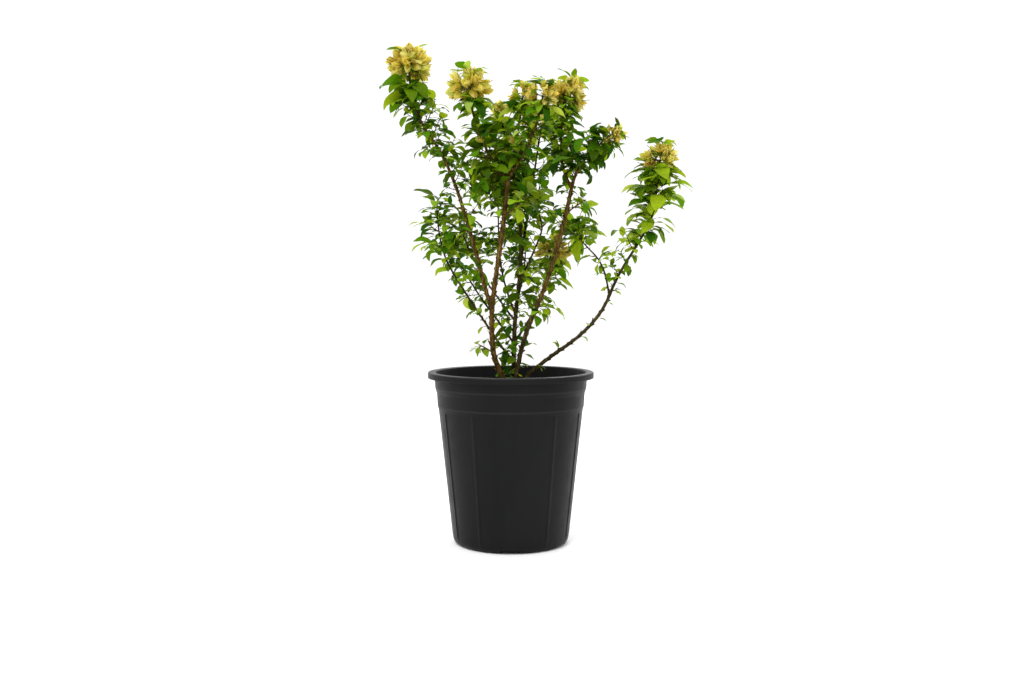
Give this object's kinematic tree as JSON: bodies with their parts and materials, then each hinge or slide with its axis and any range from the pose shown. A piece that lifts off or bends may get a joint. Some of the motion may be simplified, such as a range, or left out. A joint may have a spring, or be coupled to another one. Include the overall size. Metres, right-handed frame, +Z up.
{
  "type": "potted dwarf bougainvillea",
  "caption": "Dwarf bougainvillea in a black nursery pot: a clump of forked stems whose leafy shoots end in pale golden bract heads.",
  "frame": {"origin": "centre of the pot's flat underside, where the part stands", "axes": "+Z up along the pot's axis, +X to the right and -Y to the front as the picture shows the plant"},
  "size_m": [0.4571, 0.2763, 0.7538],
  "materials": {
    "pot": "satin black moulded plastic",
    "potting_mix": "dark crumbly bark and peat",
    "young_bark": "reddish-brown ridged bark with thorns",
    "old_bark": "dark grey-brown rough bark with spurs",
    "foliage": "soft satin green leaf",
    "bract": "thin papery golden bract",
    "flower_tube": "dry brown flower tube"
  },
  "bodies": {
    "root": {"pot": "pot", "potting_mix": "potting_mix", "stem_left": "young_bark", "bough_left_inner": "young_bark", "bough_left_outer": "young_bark", "stem_right": "young_bark", "stem_centre": "old_bark", "stem_far_right": "old_bark", "bough_left_low": "old_bark", "bough_left_back": "old_bark", "bough_left_middle": "old_bark", "bough_centre_left": "old_bark", "bough_right_low": "old_bark", "bough_centre_right": "old_bark", "bough_back": "old_bark", "bough_back_spray": "old_bark", "bough_far_right_inner": "old_bark", "foliage_front": "foliage", "foliage_front_upright": "foliage", "foliage_front_spray": "foliage", "foliage_left_upright": "foliage", "foliage_left_outer": "foliage", "foliage_left_low": "foliage", "foliage_left_back": "foliage", "foliage_left_middle": "foliage", "foliage_left_low_spray": "foliage", "foliage_centre": "foliage", "foliage_centre_left": "foliage", "foliage_centre_right": "foliage", "foliage_back": "foliage", "foliage_back_spray": "foliage", "foliage_right_low": "foliage", "foliage_right_upright": "foliage", "foliage_right_side": "foliage", "foliage_right_spray": "foliage", "foliage_right_low_spray": "foliage", "foliage_far_right": "foliage", "foliage_far_right_inner": "foliage", "foliage_foot_spray": "foliage"}
  },
  "joints": []
}
